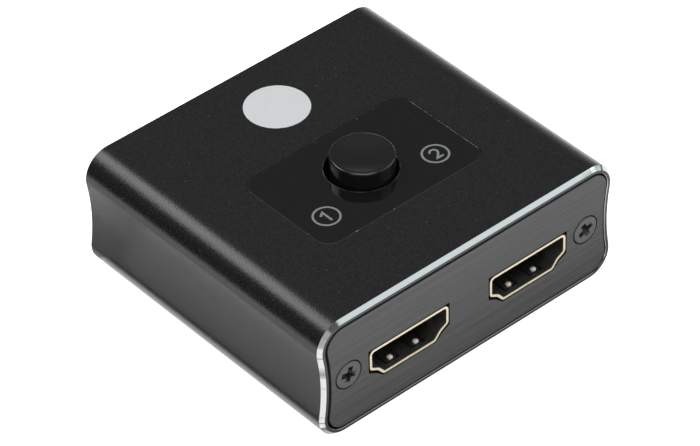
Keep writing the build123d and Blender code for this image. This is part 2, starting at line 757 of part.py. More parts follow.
pieces = {
    "sleeve": build_sleeve(),
    "front_panel": build_panel((-half_spacing, half_spacing)),
    "rear_panel": Rot(0, 0, 180) * build_panel((0,)),
    "front_screws": screw_pieces,
    "rear_screws": Rot(0, 0, 180) * screw_pieces,
    "top_inlay": build_inlay(),
    "inlay_tape": build_tape(),
    "button_cap": build_cap(),
    "circuit_board": build_board(socket_moves.values()),
    "switch_base": at_button * build_switch_base(terminal_pieces),
    "switch_cover": at_button * build_switch_cover(),
    "switch_plunger": at_button * build_plunger(),
    "sliding_contacts": at_button * build_sliders(),
    "latch_pin": at_button * build_latch_pin(),
    "return_spring": at_button * build_return_spring(),
    "switch_terminals": at_button * terminal_pieces,
    "indicator_lamps": build_lamps(),
    "light_guides": build_guides(),
    "signal_chip": build_chip(),
    "chip_leads": build_chip_leads(),
    "capacitors": small_row(capacitor_length, capacitor_width, capacitor_height, capacitor_row_place),
    "resistors": small_row(resistor_length, resistor_width, resistor_height, resistor_row_place),
}
for name, move in socket_moves.items():
    pieces[name + "_shell"] = move * shell_piece
    pieces[name + "_insulator"] = move * insulator_piece
    pieces[name + "_contacts"] = move * contact_pieces

for name, shape in pieces.items():
    export_step(shape, f"parts/{name}.step")
print(f"{len(pieces)} nodes; latch swing {degrees(latch_angle):.2f} degrees over {button_travel} mm")
print(f"latch pivot X {latch_place:.4f} Y {button_place:.4f} Z {latch_pivot:.4f}")
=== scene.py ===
"""Looks of the two-way video switch box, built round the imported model. Metres, in the model's frame:
+X is to the right seen from the front, +Y from the front to the rear, +Z up, and the box stands on
z = 0."""
from math import cos, pi, radians, sin

import bpy
import numpy as np
from mathutils import Matrix, Vector


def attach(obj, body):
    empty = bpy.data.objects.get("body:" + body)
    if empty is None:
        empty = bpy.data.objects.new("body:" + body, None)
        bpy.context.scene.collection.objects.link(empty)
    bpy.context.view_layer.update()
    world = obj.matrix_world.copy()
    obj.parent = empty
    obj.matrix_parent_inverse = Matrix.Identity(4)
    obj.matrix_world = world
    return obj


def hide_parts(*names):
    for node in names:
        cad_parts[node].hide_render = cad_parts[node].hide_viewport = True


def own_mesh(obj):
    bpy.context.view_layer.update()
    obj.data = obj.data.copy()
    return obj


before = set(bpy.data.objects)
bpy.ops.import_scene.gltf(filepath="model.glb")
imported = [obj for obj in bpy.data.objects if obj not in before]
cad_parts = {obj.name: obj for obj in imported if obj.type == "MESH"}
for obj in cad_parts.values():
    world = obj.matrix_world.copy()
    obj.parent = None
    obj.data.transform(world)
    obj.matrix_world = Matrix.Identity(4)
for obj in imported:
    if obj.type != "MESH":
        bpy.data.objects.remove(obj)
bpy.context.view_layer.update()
mm = 0.001


# ---- Camera ----
# The photograph's view: from the left of the front, 40 degrees above the table, with a long lens
# from about 0.6 m away.
camera_azimuth = radians(-40.2615)
camera_elevation = radians(40.4681)
camera_roll = radians(-1.5998)
camera_place = Vector((-281.30, -332.41, 380.05)) * mm
lens_length = 199.288
sensor_width = 36
clip_near, clip_far = 0.01, 20

back = Vector((sin(camera_azimuth) * cos(camera_elevation),
               -cos(camera_azimuth) * cos(camera_elevation), sin(camera_elevation)))
level_right = Vector((cos(camera_azimuth), sin(camera_azimuth), 0))
level_up = back.cross(level_right)
right = level_right * cos(camera_roll) + level_up * sin(camera_roll)
up = back.cross(right)
camera_turn = Matrix((right, up, back)).transposed().to_4x4()
camera = bpy.data.objects.new("camera", bpy.data.cameras.new("camera"))
camera.data.lens = lens_length
camera.data.sensor_width = sensor_width
camera.data.clip_start, camera.data.clip_end = clip_near, clip_far
camera.matrix_world = Matrix.Translation(camera_place) @ camera_turn
bpy.context.scene.collection.objects.link(camera)
bpy.context.scene.camera = camera


# ---- Floor ----
# A sheet of white paper on a light table, far larger than the view. Close round the box the light
# from below is shaded, which shows only in what the box's sides and its front panel mirror.
class Value:
    """A number that changes over a surface. A sum with it adds Math nodes to its finish."""

    def __init__(self, finish, socket):
        self.finish, self.socket = finish, socket

    def math(self, operation, first, second=None):
        return self.finish.node("Math", {"operation": operation}, first, second)

    def __add__(self, other):
        return self.math("ADD", self, other)

    def __radd__(self, other):
        return self.math("ADD", other, self)

    def __sub__(self, other):
        return self.math("SUBTRACT", self, other)

    def __rsub__(self, other):
        return self.math("SUBTRACT", other, self)

    def __mul__(self, other):
        return self.math("MULTIPLY", self, other)

    def __rmul__(self, other):
        return self.math("MULTIPLY", other, self)

    def __truediv__(self, other):
        return self.math("DIVIDE", self, other)

    def __gt__(self, other):
        return self.math("GREATER_THAN", self, other)

    def __lt__(self, other):
        return self.math("LESS_THAN", self, other)

    def __abs__(self):
        return self.math("ABSOLUTE", self)


class Finish:
    """A material: one shader, and the nodes that feed it."""

    def __init__(self, name, **sockets):
        self.material = bpy.data.materials.new(name)
        self.material.use_nodes = True
        self.tree = self.material.node_tree
        self.shader = self.tree.nodes["Principled BSDF"]
        self.set(**sockets)

    def plug(self, node, name, value):
        if isinstance(value, Value):
            self.tree.links.new(value.socket, node.inputs[name])
        elif value is not None:
            node.inputs[name].default_value = value

    def set(self, **sockets):
        for name, value in sockets.items():
            self.plug(self.shader, name.replace("_", " "), value)

    def node(self, kind, settings=None, *values, output=0, **named):
        """A node of a kind: its settings are set first, a ramp's stops among them, then its inputs in
        order or by name. Returns one of its outputs."""
        node = self.tree.nodes.new("ShaderNode" + kind)
        for name, setting in (settings or {}).items():
            if name == "stops":
                ramp = node.color_ramp.elements
                while len(ramp) < len(setting):
                    ramp.new(1)
                for stop, (place, level) in zip(ramp, setting):
                    stop.position, stop.color = place, (level, level, level, 1)
            else:
                setattr(node, name, setting)
        for place, value in enumerate(values):
            self.plug(node, place, value)
        for name, value in named.items():
            self.plug(node, name.replace("_", " "), value)
        return Value(self, node.outputs[output])

    def place(self, scale=(1, 1, 1), shift=(0, 0, 0)):
        """Object coordinates, scaled and then shifted by a Mapping node."""
        inside = self.node("TexCoord", output="Object")
        return self.node("Mapping", None, Vector=inside, Scale=scale, Location=shift)

    def noise(self, size, stretch=(1, 1, 1), detail=2.0, rough=0.5, shift=(0, 0, 0)):
        """Noise whose grains are about size long, times stretch along each axis."""
        scale = tuple(1 / (size * s) for s in stretch)
        return self.node("TexNoise", None, Vector=self.place(scale, shift), Scale=1.0, Detail=detail,
                         Roughness=rough)

    def cells(self, size):
        """Distance to the nearest of points scattered about size apart, as a share of size."""
        return self.node("TexVoronoi", None, Vector=self.place((1 / size,) * 3), Scale=1.0)

    def ramp(self, value, *stops):
        return self.node("ValToRGB", {"stops": stops}, value)

    def mix(self, factor, first, second):
        """Colour between first and second, by a factor from 0 to 1."""
        node = self.node("Mix", {"data_type": "RGBA"}, factor, output=2)
        self.plug(node.socket.node, 6, first)
        self.plug(node.socket.node, 7, second)
        return node

    def bump(self, height, depth):
        """Relief as deep as depth in metres for a height from 0 to 1."""
        return self.node("Bump", None, Strength=1.0, Distance=depth, Height=height)

    def largest(self, first, second):
        return self.node("Math", {"operation": "MAXIMUM"}, first, second)

    def axes(self, vector):
        """The three numbers of a vector."""
        parts = self.node("SeparateXYZ", None, vector)
        return [Value(self, out) for out in parts.socket.node.outputs]


def mesh_piece(name, points, faces, finish, body="housing", slot=None):
    """A piece of the object, or of the stage if it has no body, from corner points and faces."""
    mesh = bpy.data.meshes.new(name)
    mesh.from_pydata(points.tolist(), [], faces)
    mesh.validate()
    mesh.materials.append(finish.material)
    piece = bpy.data.objects.new(name, mesh)
    bpy.context.scene.collection.objects.link(piece)
    if body:
        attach(piece, body)
    return piece


floor_reach = 1.6
floor_drop = 0.05 * mm
paper_grey, paper_glow = (0.65, 0.65, 0.65, 1), (1, 1, 1, 1)
fibre_size = 2 * mm
fibre_relief = 0.01 * mm
paper = Finish("floor_paper", Base_Color=paper_grey, Roughness=0.9)
paper.set(Normal=paper.bump(paper.noise(fibre_size, detail=4), fibre_relief))
paper.set(Emission_Color=paper_glow, Emission_Strength=1.0)
floor_corners = np.array([(-1, -1, 0), (1, -1, 0), (1, 1, 0), (-1, 1, 0)]) * floor_reach
floor = mesh_piece("floor", floor_corners - (0, 0, floor_drop), [(0, 1, 2, 3)], paper, body=None)

shade_drop = 0.025 * mm
shade_length = 76 * mm
side_foot, end_foot = 28.4 * mm, 26.4 * mm
shade_black = (0, 0, 0, 1)
even_fade = ((0, 0.50), (0.3, 0.38), (0.7, 0.15), (1, 0))
striped_fade = ((0, 0), (0.08, 0), (0.12, 1), (0.21, 1), (0.25, 0), (0.39, 0),
                (0.43, 0.65), (0.58, 0.65), (0.72, 0.15), (1, 0))
shades = {
    "left": {"outward": (-1, 0), "foot": side_foot, "reach": 28 * mm, "along": 11 * mm,
             "stops": striped_fade},
    "front": {"outward": (0, -1), "foot": end_foot, "reach": 15 * mm, "along": 9 * mm,
              "stops": even_fade},
    "right": {"outward": (1, 0), "foot": side_foot, "reach": 15 * mm, "along": 0,
              "stops": even_fade},
    "rear": {"outward": (0, 1), "foot": end_foot, "reach": 15 * mm, "along": 0,
             "stops": even_fade},
}
for side, facts in shades.items():
    shade = Finish(side + "_shade", Base_Color=shade_black, Roughness=1.0, IOR=1.0)
    shade_x, shade_y, _ = shade.axes(shade.place((1 / facts["reach"],) * 3))
    outward = np.array([*facts["outward"], 0.0])
    beside = shade_x * outward[0] + shade_y * outward[1] - facts["foot"] / facts["reach"]
    shade.set(Alpha=shade.ramp(beside, *facts["stops"]))
    sideways = np.array([-outward[1], outward[0], 0.0])
    near = outward * facts["foot"] + abs(sideways) * facts["along"] - (0, 0, shade_drop)
    far = near + outward * facts["reach"]
    reach_aside = sideways * shade_length / 2
    corners = np.array([near - reach_aside, far - reach_aside, far + reach_aside, near + reach_aside])
    strip = mesh_piece(side + "_shade", corners, [(0, 1, 2, 3)], shade, body=None)
    strip.visible_camera = strip.visible_shadow = False


# ---- Studio light ----
# Six softboxes in a dim grey room: the one behind on the left draws the highlight along the shoulder,
# and the bright-cut edge mirrors the ones in front on the right. A black card on the left and a grey
# one in front, out of the picture, keep the table's far part out of the round edges.
room_stops = ((0.0, 0.05), (0.42, 0.10), (0.65, 0.19), (0.83, 0.34), (1.0, 0.36))
white_tint, cool_tint = (1, 1, 1), (0.88, 0.98, 1.0)
softboxes = {
    "overhead": {"place": (-0.10, -0.14, 0.52), "size": (0.45, 0.45), "power": 1.9,
                 "tint": white_tint},
    "back_left": {"place": (-0.135, 0.29, 0.385), "size": (0.30, 0.19), "power": 0.84,
                  "tint": white_tint},
    "front_right": {"place": (0.33, -0.33, 0.32), "size": (0.42, 0.20), "power": 0.345,
                    "tint": cool_tint},
    "right": {"place": (0.45, -0.23, 0.19), "size": (0.34, 0.26), "power": 0.37,
              "tint": cool_tint},
    "right_behind": {"place": (0.48, 0.36, 0.10), "size": (0.50, 0.30), "power": 0.29,
                     "tint": white_tint},
    "front_low": {"place": (-0.22, -0.42, 0.17), "size": (0.30, 0.20), "power": 0.12,
                  "tint": white_tint},
}
room = bpy.data.worlds.new("room")
room.use_nodes = True
room_nodes, room_links = room.node_tree.nodes, room.node_tree.links
heading = room_nodes.new("ShaderNodeTexCoord")
height = room_nodes.new("ShaderNodeSeparateXYZ")
greys = room_nodes.new("ShaderNodeValToRGB")
for _ in room_stops[2:]:
    greys.color_ramp.elements.new(1)
for stop, (height_share, grey) in zip(greys.color_ramp.elements, room_stops):
    stop.position, stop.color = height_share, (grey, grey, grey, 1)
room_links.new(heading.outputs["Generated"], height.inputs[0])
room_links.new(height.outputs["Z"], greys.inputs[0])
room_links.new(greys.outputs[0], room_nodes["Background"].inputs["Color"])
bpy.context.scene.world = room
for light_name, box in softboxes.items():
    light = bpy.data.lights.new(light_name, "AREA")
    light.shape = "RECTANGLE"
    light.size, light.size_y = box["size"]
    light.energy = box["power"]
    light.color = box["tint"]
    lamp = bpy.data.objects.new(light_name, light)
    lamp.location = box["place"]
    lamp.rotation_euler = (-Vector(box["place"])).to_track_quat("-Z", "Y").to_euler()
    bpy.context.scene.collection.objects.link(lamp)
bpy.context.scene.view_settings.view_transform = "Standard"

card_height = 32 * mm
cards = {
    "left_card": {"ends": ((-104, -22), (-56, 96)), "grey": 0.01},
    "front_card": {"ends": ((-98, -42), (-46, -92)), "grey": 0.8},
}
for card_name, card_facts in cards.items():
    card_grey = (*[card_facts["grey"]] * 3, 1)
    flock = Finish(card_name + "_flock", Base_Color=card_grey, Roughness=1.0)
    (x0, y0), (x1, y1) = np.array(card_facts["ends"]) * mm
    corners = np.array([(x0, y0, 0), (x1, y1, 0), (x1, y1, card_height), (x0, y0, card_height)])
    card = mesh_piece(card_name, corners, [(0, 1, 2, 3)], flock, body=None)
    card.visible_camera = False


# ---- Sleeve ----
# One piece of extruded aluminium tube, bead-blasted and anodised black. Both ends are bright-cut
# afterwards with a diamond tool, so the chamfers are bare metal that shines, with fine tool lines.
# A few grey bands on the front-left chamfer are painted reflections, and the bare metal is darker in
# its lowest 3 mm, painted shade near the table.
def dress(finish, *nodes):
    """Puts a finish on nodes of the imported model."""
    for node in nodes:
        for material_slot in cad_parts[node].material_slots:
            material_slot.material = finish.material


blast_size, blast_relief = 0.24 * mm, 0.027 * mm
cloud_size = 9 * mm
black_low, black_high = (0.0030, 0.0032, 0.0036, 1), (0.0200, 0.0203, 0.0208, 1)
dust_spacing, dust_share = 1.7 * mm, 0.045
dust_patch, dust_free = 4 * mm, 0.45
dust_grey = (0.11, 0.11, 0.11, 1)
end_zone = 24.7 * mm
end_flat, end_upright = 0.97, 0.3
middle_height = 10.6 * mm
corner_x, corner_z = 24.1 * mm, 6.3 * mm
pocket_reach = 3.65 * mm
tool_line = 0.05 * mm
chatter_size = 1.2 * mm
chatter_stops = (0.28, 0.0), (0.42, 1.0)
metal_low, metal_high = (0.30, 0.30, 0.30, 1), (0.465, 0.465, 0.465, 1)
# Painted shade: the lowest bare metal, near the table, is painted this darker grey.
bottom_shade_height = 3.0 * mm
bottom_shade_metal = (0.22, 0.22, 0.22, 1)
height_scale = 20 * mm
# Painted reflections: grey bands at these heights, as shares of height_scale, on the front-left
# chamfer.
reflection_band_heights = ((0.194, 0), (0.198, 0.8), (0.204, 0.8), (0.208, 0), (0.610, 0), (0.655, 0.75),
              (0.690, 0.4), (0.730, 0), (0.810, 0), (0.814, 0.7), (0.820, 0.7), (0.824, 0))
reflection_band_grey = (0.10, 0.10, 0.10, 1)

anodised = Finish("blasted_anodise", IOR=1.45)
blast = anodised.noise(blast_size, detail=3, rough=0.65)
cloud = anodised.noise(cloud_size, detail=3)
end_facing = abs(anodised.axes(anodised.node("NewGeometry", output="True Normal"))[1])
at_x, at_y, at_z = anodised.axes(anodised.place())
at_end = abs(at_y) > end_zone
out_x = anodised.largest(abs(at_x) - corner_x, 0)
out_z = anodised.largest(abs(at_z - middle_height) - corner_z, 0)
in_pocket = (out_x * out_x + out_z * out_z) < pocket_reach**2
chamfered = (end_facing > end_upright) * (end_facing < end_flat) * at_end
bright_cut = chamfered + (end_facing < end_upright) * at_end * in_pocket
dark_level = anodised.ramp(blast, (0.3, 0.0), (0.7, 1.0))
black = anodised.mix(dark_level, black_low, black_high)
dust = (anodised.cells(dust_spacing) < dust_share) * (anodised.noise(dust_patch) > dust_free)
black = anodised.mix(dust, black, dust_grey)
tool_lines = anodised.noise(tool_line, stretch=(9, 1, 9), detail=2)
chatter = anodised.ramp(anodised.noise(chatter_size, stretch=(8, 8, 1), detail=3), *chatter_stops)
bare_metal = anodised.mix(chatter, metal_low, metal_high)
# Painted shade: bare metal darker below this height, near the table.
bare_metal = anodised.mix(at_z < bottom_shade_height, bare_metal, bottom_shade_metal)
# Painted reflections of dark surroundings, painted as grey bands on the front-left chamfer only.
reflection_bands = anodised.ramp(at_z / height_scale, *reflection_band_heights) * (at_x < 0) * (at_y < 0)
bare_metal = anodised.mix(reflection_bands, bare_metal, reflection_band_grey)
blasted_roughness = 0.14 + 0.10 * blast + 0.04 * cloud
cut_roughness = 0.10 + 0.06 * tool_lines
anodised.set(
    Base_Color=anodised.mix(bright_cut, black, bare_metal),
    Metallic=bright_cut,
    Roughness=blasted_roughness * (1 - bright_cut) + cut_roughness * bright_cut,
    Normal=anodised.bump(blast * (1 - bright_cut), blast_relief),
)
dress(anodised, "sleeve")


# ---- End panels ----
# Aluminium sheet, brushed along its length and anodised black, so fine lines run from side to side
# among broader, fainter bands.
line_stretch = (260, 1, 1)
fine_line, broad_line = 0.035 * mm, 0.12 * mm
line_relief = 0.007 * mm
line_stops = (0.36, 0.0), (0.60, 1.0)
line_black, line_grey = (0.001, 0.001, 0.0015, 1), (0.052, 0.052, 0.053, 1)
brushed = Finish("brushed_anodise", IOR=1.46)
fine_lines = brushed.noise(fine_line, stretch=line_stretch, detail=3, rough=0.7)
broad_lines = brushed.noise(broad_line, stretch=line_stretch, detail=2)
line_level = brushed.ramp(0.5 * fine_lines + 0.5 * broad_lines, *line_stops)
brushed.set(
    Base_Color=brushed.mix(line_level, line_black, line_grey),
    Roughness=0.26 + 0.2 * fine_lines,
    Normal=brushed.bump(line_level, line_relief),
)
dress(brushed, "front_panel", "rear_panel")


# ---- Panel screws ----
# Countersunk steel screws with a cross recess, blackened, with a little bare steel showing on the
# face of the head. The recess and the shank are dull, and painted darker than the face: painted shade.
head_face = 26.2 * mm
steel_grain, steel_relief = 0.25 * mm, 0.01 * mm
# Painted shade: the recess and the shank are painted darker than the head's face.
recess_shade_black = (0.003, 0.003, 0.003, 1)
head_dark, head_light = (0.014, 0.014, 0.015, 1), (0.055, 0.055, 0.057, 1)
screw_black = Finish("blackened_steel", IOR=1.7)
screw_grain = screw_black.noise(steel_grain, detail=4)
on_face = abs(screw_black.axes(screw_black.place())[1]) > head_face
screw_tone = screw_black.mix(screw_grain, head_dark, head_light)
screw_black.set(
    Base_Color=screw_black.mix(on_face, recess_shade_black, screw_tone),
    Metallic=0.4 * screw_grain * on_face,
    Roughness=0.26 + 0.2 * screw_grain + 0.3 * (1 - on_face),
    Normal=screw_black.bump(screw_grain, steel_relief),
)
dress(screw_black, "front_screws", "rear_screws")


# ---- Socket shells ----
# Drawn and folded from thin sheet steel and plated in a pale gold, with two retention springs pressed
# up from the floor and two from the roof. Inside, away from the mouth, the plating is painted a dark
# grey, painted shade; the tips of the lower springs are painted a pale cream, a painted highlight.
front_socket_x = 11.55 * mm
mouth_start = 26.15 * mm
tip_place = (2.46 * mm, 24.7 * mm)
tip_low, tip_high = 7.03 * mm, 9 * mm
tip_highlight_radius = 0.46 * mm
drawn_line, drawn_relief = 0.06 * mm, 0.0015 * mm
patch_size = 0.9 * mm
# Painted shade: the dark grey inside the shells.
inside_shade_grey = (0.34, 0.335, 0.32, 1)
gold_deep, gold_pale = (0.62, 0.54, 0.38, 1), (0.72, 0.65, 0.49, 1)
# Painted highlight: the pale cream of the lower spring tips.
tip_highlight_cream = (0.80, 0.76, 0.64, 1)
plated = Finish("pale_gold_plate")
drawn = plated.noise(drawn_line, stretch=(1, 30, 1), detail=2)
patch = plated.noise(patch_size, detail=3)
shell_x, shell_y, shell_z = plated.axes(plated.place())
is_front = shell_y < 0
from_middle = abs(abs(shell_x) - front_socket_x * is_front)
tip_aside = from_middle - tip_place[0]
tip_along = abs(shell_y) - tip_place[1]
near_tip = (tip_aside * tip_aside + tip_along * tip_along) < tip_highlight_radius**2
tip = near_tip * (shell_z > tip_low) * (shell_z < tip_high)
# Painted shade everywhere inside but the mouth and the lower spring tips.
mouth_or_tip = plated.largest(abs(shell_y) > mouth_start, tip)
clean_gold = plated.mix(patch, gold_deep, gold_pale)
# Painted highlight on the tips of the lower springs.
gold_with_tip_highlight = plated.mix(tip, clean_gold, tip_highlight_cream)
plated.set(
    Metallic=1 - 0.85 * tip,
    Base_Color=plated.mix(mouth_or_tip, inside_shade_grey, gold_with_tip_highlight),
    Roughness=0.26 + 0.12 * drawn + 0.05 * patch + 0.25 * tip,
    Normal=plated.bump(drawn, drawn_relief),
)
dress(plated, "left_socket_shell", "right_socket_shell", "rear_socket_shell")


# ---- Socket insulators ----
# Black glass-filled nylon, moulded, with the tongue that carries the contacts. It closes the back of
# each shell, so the inside of the sockets looks dark.
nylon_size, nylon_relief = 0.08 * mm, 0.003 * mm
nylon_dark, nylon_light = (0.008, 0.008, 0.008, 1), (0.02, 0.02, 0.02, 1)
nylon = Finish("black_nylon")
nylon_grain = nylon.noise(nylon_size, detail=3)
nylon.set(
    Base_Color=nylon.mix(nylon_grain, nylon_dark, nylon_light),
    Roughness=0.42 + 0.18 * nylon_grain,
    Normal=nylon.bump(nylon_grain, nylon_relief),
)
dress(nylon, "left_socket_insulator", "right_socket_insulator", "rear_socket_insulator")


# ---- Contacts ----
# Strips stamped from phosphor bronze and gold-plated: nineteen in each socket, and the two sliding
# contacts of the switch.
rolled_line, rolled_relief = 0.03 * mm, 0.001 * mm
bronze_gold, bright_gold = (0.86, 0.60, 0.22, 1), (0.93, 0.70, 0.32, 1)
gold = Finish("gold_flash", Metallic=1.0)
rolling = gold.noise(rolled_line, stretch=(1, 20, 1), detail=2)
gold.set(
    Base_Color=gold.mix(rolling, bronze_gold, bright_gold),
    Roughness=0.2 + 0.15 * rolling,
    Normal=gold.bump(rolling, rolled_relief),
)
dress(gold, "left_socket_contacts", "right_socket_contacts", "rear_socket_contacts",
      "sliding_contacts")


# ---- Circuit board ----
# Glass-fibre laminate under a dark green solder mask; the copper tracks show through as raised lines,
# and the weave of the glass as a faint grid.
weave_pitch = 1.1 * mm
tracks_per_metre = 240
track_relief = 0.02 * mm
gap_green, track_green = (0.006, 0.032, 0.016, 1), (0.012, 0.075, 0.034, 1)
masked = Finish("solder_mask", IOR=1.5)
weave_at = masked.axes(masked.place((1 / weave_pitch,) * 3))
weave_x = masked.node("Math", {"operation": "PINGPONG"}, weave_at[0], 0.5)
weave_y = masked.node("Math", {"operation": "PINGPONG"}, weave_at[1], 0.5)
weave = weave_x + weave_y
tracks = masked.node("TexBrick", None, output=1, Vector=masked.place((tracks_per_metre,) * 3),
                     Scale=1.0, Mortar_Size=0.06, Mortar_Smooth=0.1, Brick_Width=0.9,
                     Row_Height=0.5)
masked.set(
    Base_Color=masked.mix(tracks, gap_green, track_green),
    Roughness=0.28 + 0.08 * weave,
    Normal=masked.bump(tracks + 0.2 * weave, track_relief),
)
dress(masked, "circuit_board")


# ---- Signal chip, leads and small parts ----
# Epoxy-moulded chip with tinned leads, and rows of ceramic chip capacitors and resistors with metal
# ends, all soldered to the top of the board.
epoxy_size, epoxy_relief = 0.07 * mm, 0.006 * mm
epoxy_dark, epoxy_light = (0.010, 0.010, 0.011, 1), (0.026, 0.026, 0.027, 1)
epoxy = Finish("chip_epoxy")
epoxy_grain = epoxy.noise(epoxy_size, detail=3)
epoxy.set(
    Base_Color=epoxy.mix(epoxy_grain, epoxy_dark, epoxy_light),
    Roughness=0.55 + 0.15 * epoxy_grain,
    Normal=epoxy.bump(epoxy_grain, epoxy_relief),
)
dress(epoxy, "signal_chip")

solder_size, solder_relief = 0.2 * mm, 0.004 * mm
tin_dark, tin_light = (0.62, 0.62, 0.64, 1), (0.80, 0.80, 0.82, 1)
tinned = Finish("tinned_metal", Metallic=1.0)
solder = tinned.noise(solder_size, detail=3)
tinned.set(
    Base_Color=tinned.mix(solder, tin_dark, tin_light),
    Roughness=0.25 + 0.25 * solder,
    Normal=tinned.bump(solder, solder_relief),
)
dress(tinned, "chip_leads", "switch_terminals")

capacitor_row, resistor_row = -11.2 * mm, 11.0 * mm
metal_end_start = 0.52 * mm
end_metal = (0.72, 0.72, 0.72, 1)
small_grain = 0.12 * mm
ceramic_brown, ceramic_relief = (0.30, 0.19, 0.10, 1), 0.004 * mm
ceramic = Finish("capacitor_ceramic")
ceramic_grain = ceramic.noise(small_grain, detail=3)
ceramic_y = ceramic.axes(ceramic.place(shift=(0, -capacitor_row, 0)))[1]
capacitor_end = abs(ceramic_y) > metal_end_start
ceramic.set(
    Base_Color=ceramic.mix(capacitor_end, ceramic_brown, end_metal),
    Metallic=capacitor_end,
    Roughness=0.3 + 0.2 * ceramic_grain,
    Normal=ceramic.bump(ceramic_grain, ceramic_relief),
)
dress(ceramic, "capacitors")

glaze_black, glaze_relief = (0.012, 0.012, 0.013, 1), 0.003 * mm
glaze = Finish("resistor_glaze")
glaze_grain = glaze.noise(small_grain, detail=3)
glaze_y = glaze.axes(glaze.place(shift=(0, -resistor_row, 0)))[1]
resistor_end = abs(glaze_y) > metal_end_start
glaze.set(
    Base_Color=glaze.mix(resistor_end, glaze_black, end_metal),
    Metallic=resistor_end,
    Roughness=0.25 + 0.2 * glaze_grain,
    Normal=glaze.bump(glaze_grain, glaze_relief),
)
dress(glaze, "resistors")


# ---- Self-locking switch ----
# Base, cover and plunger are moulded in acetal; the latch pin and the return spring are bright steel
# wire, drawn, so fine lines run along them. The return spring is wound here at one fixed length.
acetal_size, acetal_relief = 0.15 * mm, 0.003 * mm
acetal_dark, acetal_light = (0.012, 0.012, 0.013, 1), (0.022, 0.022, 0.023, 1)
acetal = Finish("black_acetal")
acetal_grain = acetal.noise(acetal_size, detail=3)
acetal.set(
    Base_Color=acetal.mix(acetal_grain, acetal_dark, acetal_light),
    Roughness=0.38 + 0.15 * acetal_grain,
    Normal=acetal.bump(acetal_grain, acetal_relief),
)
dress(acetal, "switch_base", "switch_cover")

white_size = 0.2 * mm
white_dark, white_light = (0.58, 0.57, 0.53, 1), (0.68, 0.67, 0.63, 1)
white_acetal = Finish("white_acetal")
white_grain = white_acetal.noise(white_size, detail=3)
white_acetal.set(
    Base_Color=white_acetal.mix(white_grain, white_dark, white_light),
    Roughness=0.35 + 0.15 * white_grain,
    Normal=white_acetal.bump(white_grain, acetal_relief),
)
dress(white_acetal, "switch_plunger")

wire_line, wire_relief = 0.04 * mm, 0.001 * mm
steel_dark, steel_light = (0.50, 0.51, 0.53, 1), (0.68, 0.69, 0.71, 1)
wire = Finish("spring_wire", Metallic=1.0)
wire_lines = wire.noise(wire_line, stretch=(1, 1, 8), detail=2)
wire.set(
    Base_Color=wire.mix(wire_lines, steel_dark, steel_light),
    Roughness=0.22 + 0.15 * wire_lines,
    Normal=wire.bump(wire_lines, wire_relief),
)
dress(wire, "latch_pin", "return_spring")

coil_place = (0.0, -3.45 * mm)
coil_foot = 8.525 * mm
coil_length = 3.98 * mm
coil_turns = 5
coil_radius = 1.6 * mm
wire_radius = 0.17 * mm
seat_gap = 0.02 * mm


def coil(steps_a_turn=36, sides=12):
    """A round wire wound on a helix. The wire's middle is at (r cos a, r sin a, p a), and each ring
    of the tube is that middle plus the wire's radius times cos b outwards and sin b along the
    binormal, which is square to the wire and to the outward direction."""
    angle = np.linspace(0, 2 * pi * coil_turns, steps_a_turn * coil_turns + 1)
    start = coil_foot + seat_gap + wire_radius
    climb = (coil_length - seat_gap * 2 - wire_radius * 2) / angle[-1]
    outward = np.column_stack([np.cos(angle), np.sin(angle), np.zeros(len(angle))])
    middle = outward * coil_radius + (*coil_place, start) + np.outer(angle, (0, 0, climb))
    along = np.column_stack([-np.sin(angle) * coil_radius, np.cos(angle) * coil_radius,
                             np.full(len(angle), climb)])
    along /= np.linalg.norm(along, axis=1, keepdims=True)
    binormal = np.cross(along, outward)
    turn = np.arange(sides) * 2 * pi / sides
    rings = (middle[:, None] + wire_radius * np.cos(turn)[None, :, None] * outward[:, None]
             + wire_radius * np.sin(turn)[None, :, None] * binormal[:, None])
    here = np.arange(len(angle) - 1)[:, None] * sides + np.arange(sides)
    aside = np.arange(len(angle) - 1)[:, None] * sides + (np.arange(sides) + 1) % sides
    walls = np.stack([here, aside, aside + sides, here + sides], 2).reshape(-1, 4).tolist()
    last = (len(angle) - 1) * sides
    ends = [list(reversed(range(sides))), [last + side for side in range(sides)]]
    return rings.reshape(-1, 3), walls + ends


wound = mesh_piece("return_coil", *coil(), wire, slot="spring_wire")
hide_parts("return_spring")
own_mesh(wound)


# ---- Lamps and light guides ----
# White chip lamps on the board, each with a dot of yellow phosphor, and clear acrylic rods that carry
# their light up to the numbers in the inlay.
lamp_row = -8.1 * mm
phosphor_reach = 0.28 * mm
lamp_size = 0.2 * mm
lamp_white, phosphor_yellow = (0.75, 0.75, 0.73, 1), (0.80, 0.70, 0.30, 1)
lamp_body = Finish("lamp_body")
lamp_y = lamp_body.axes(lamp_body.place(shift=(0, -lamp_row, 0)))[1]
phosphor = abs(lamp_y) < phosphor_reach
lamp_body.set(
    Base_Color=lamp_body.mix(phosphor, lamp_white, phosphor_yellow),
    Roughness=0.3 + 0.2 * lamp_body.noise(lamp_size),
)
dress(lamp_body, "indicator_lamps")

ripple_size, ripple_relief = 0.8 * mm, 0.004 * mm
acrylic_clear = (0.95, 0.96, 0.97, 1)
clear = Finish("clear_acrylic", Base_Color=acrylic_clear, Transmission_Weight=0.85, IOR=1.49)
ripple = clear.noise(ripple_size, stretch=(1, 1, 4), detail=2)
clear.set(Roughness=0.06 + 0.06 * ripple, Normal=clear.bump(ripple, ripple_relief))
dress(clear, "light_guides")


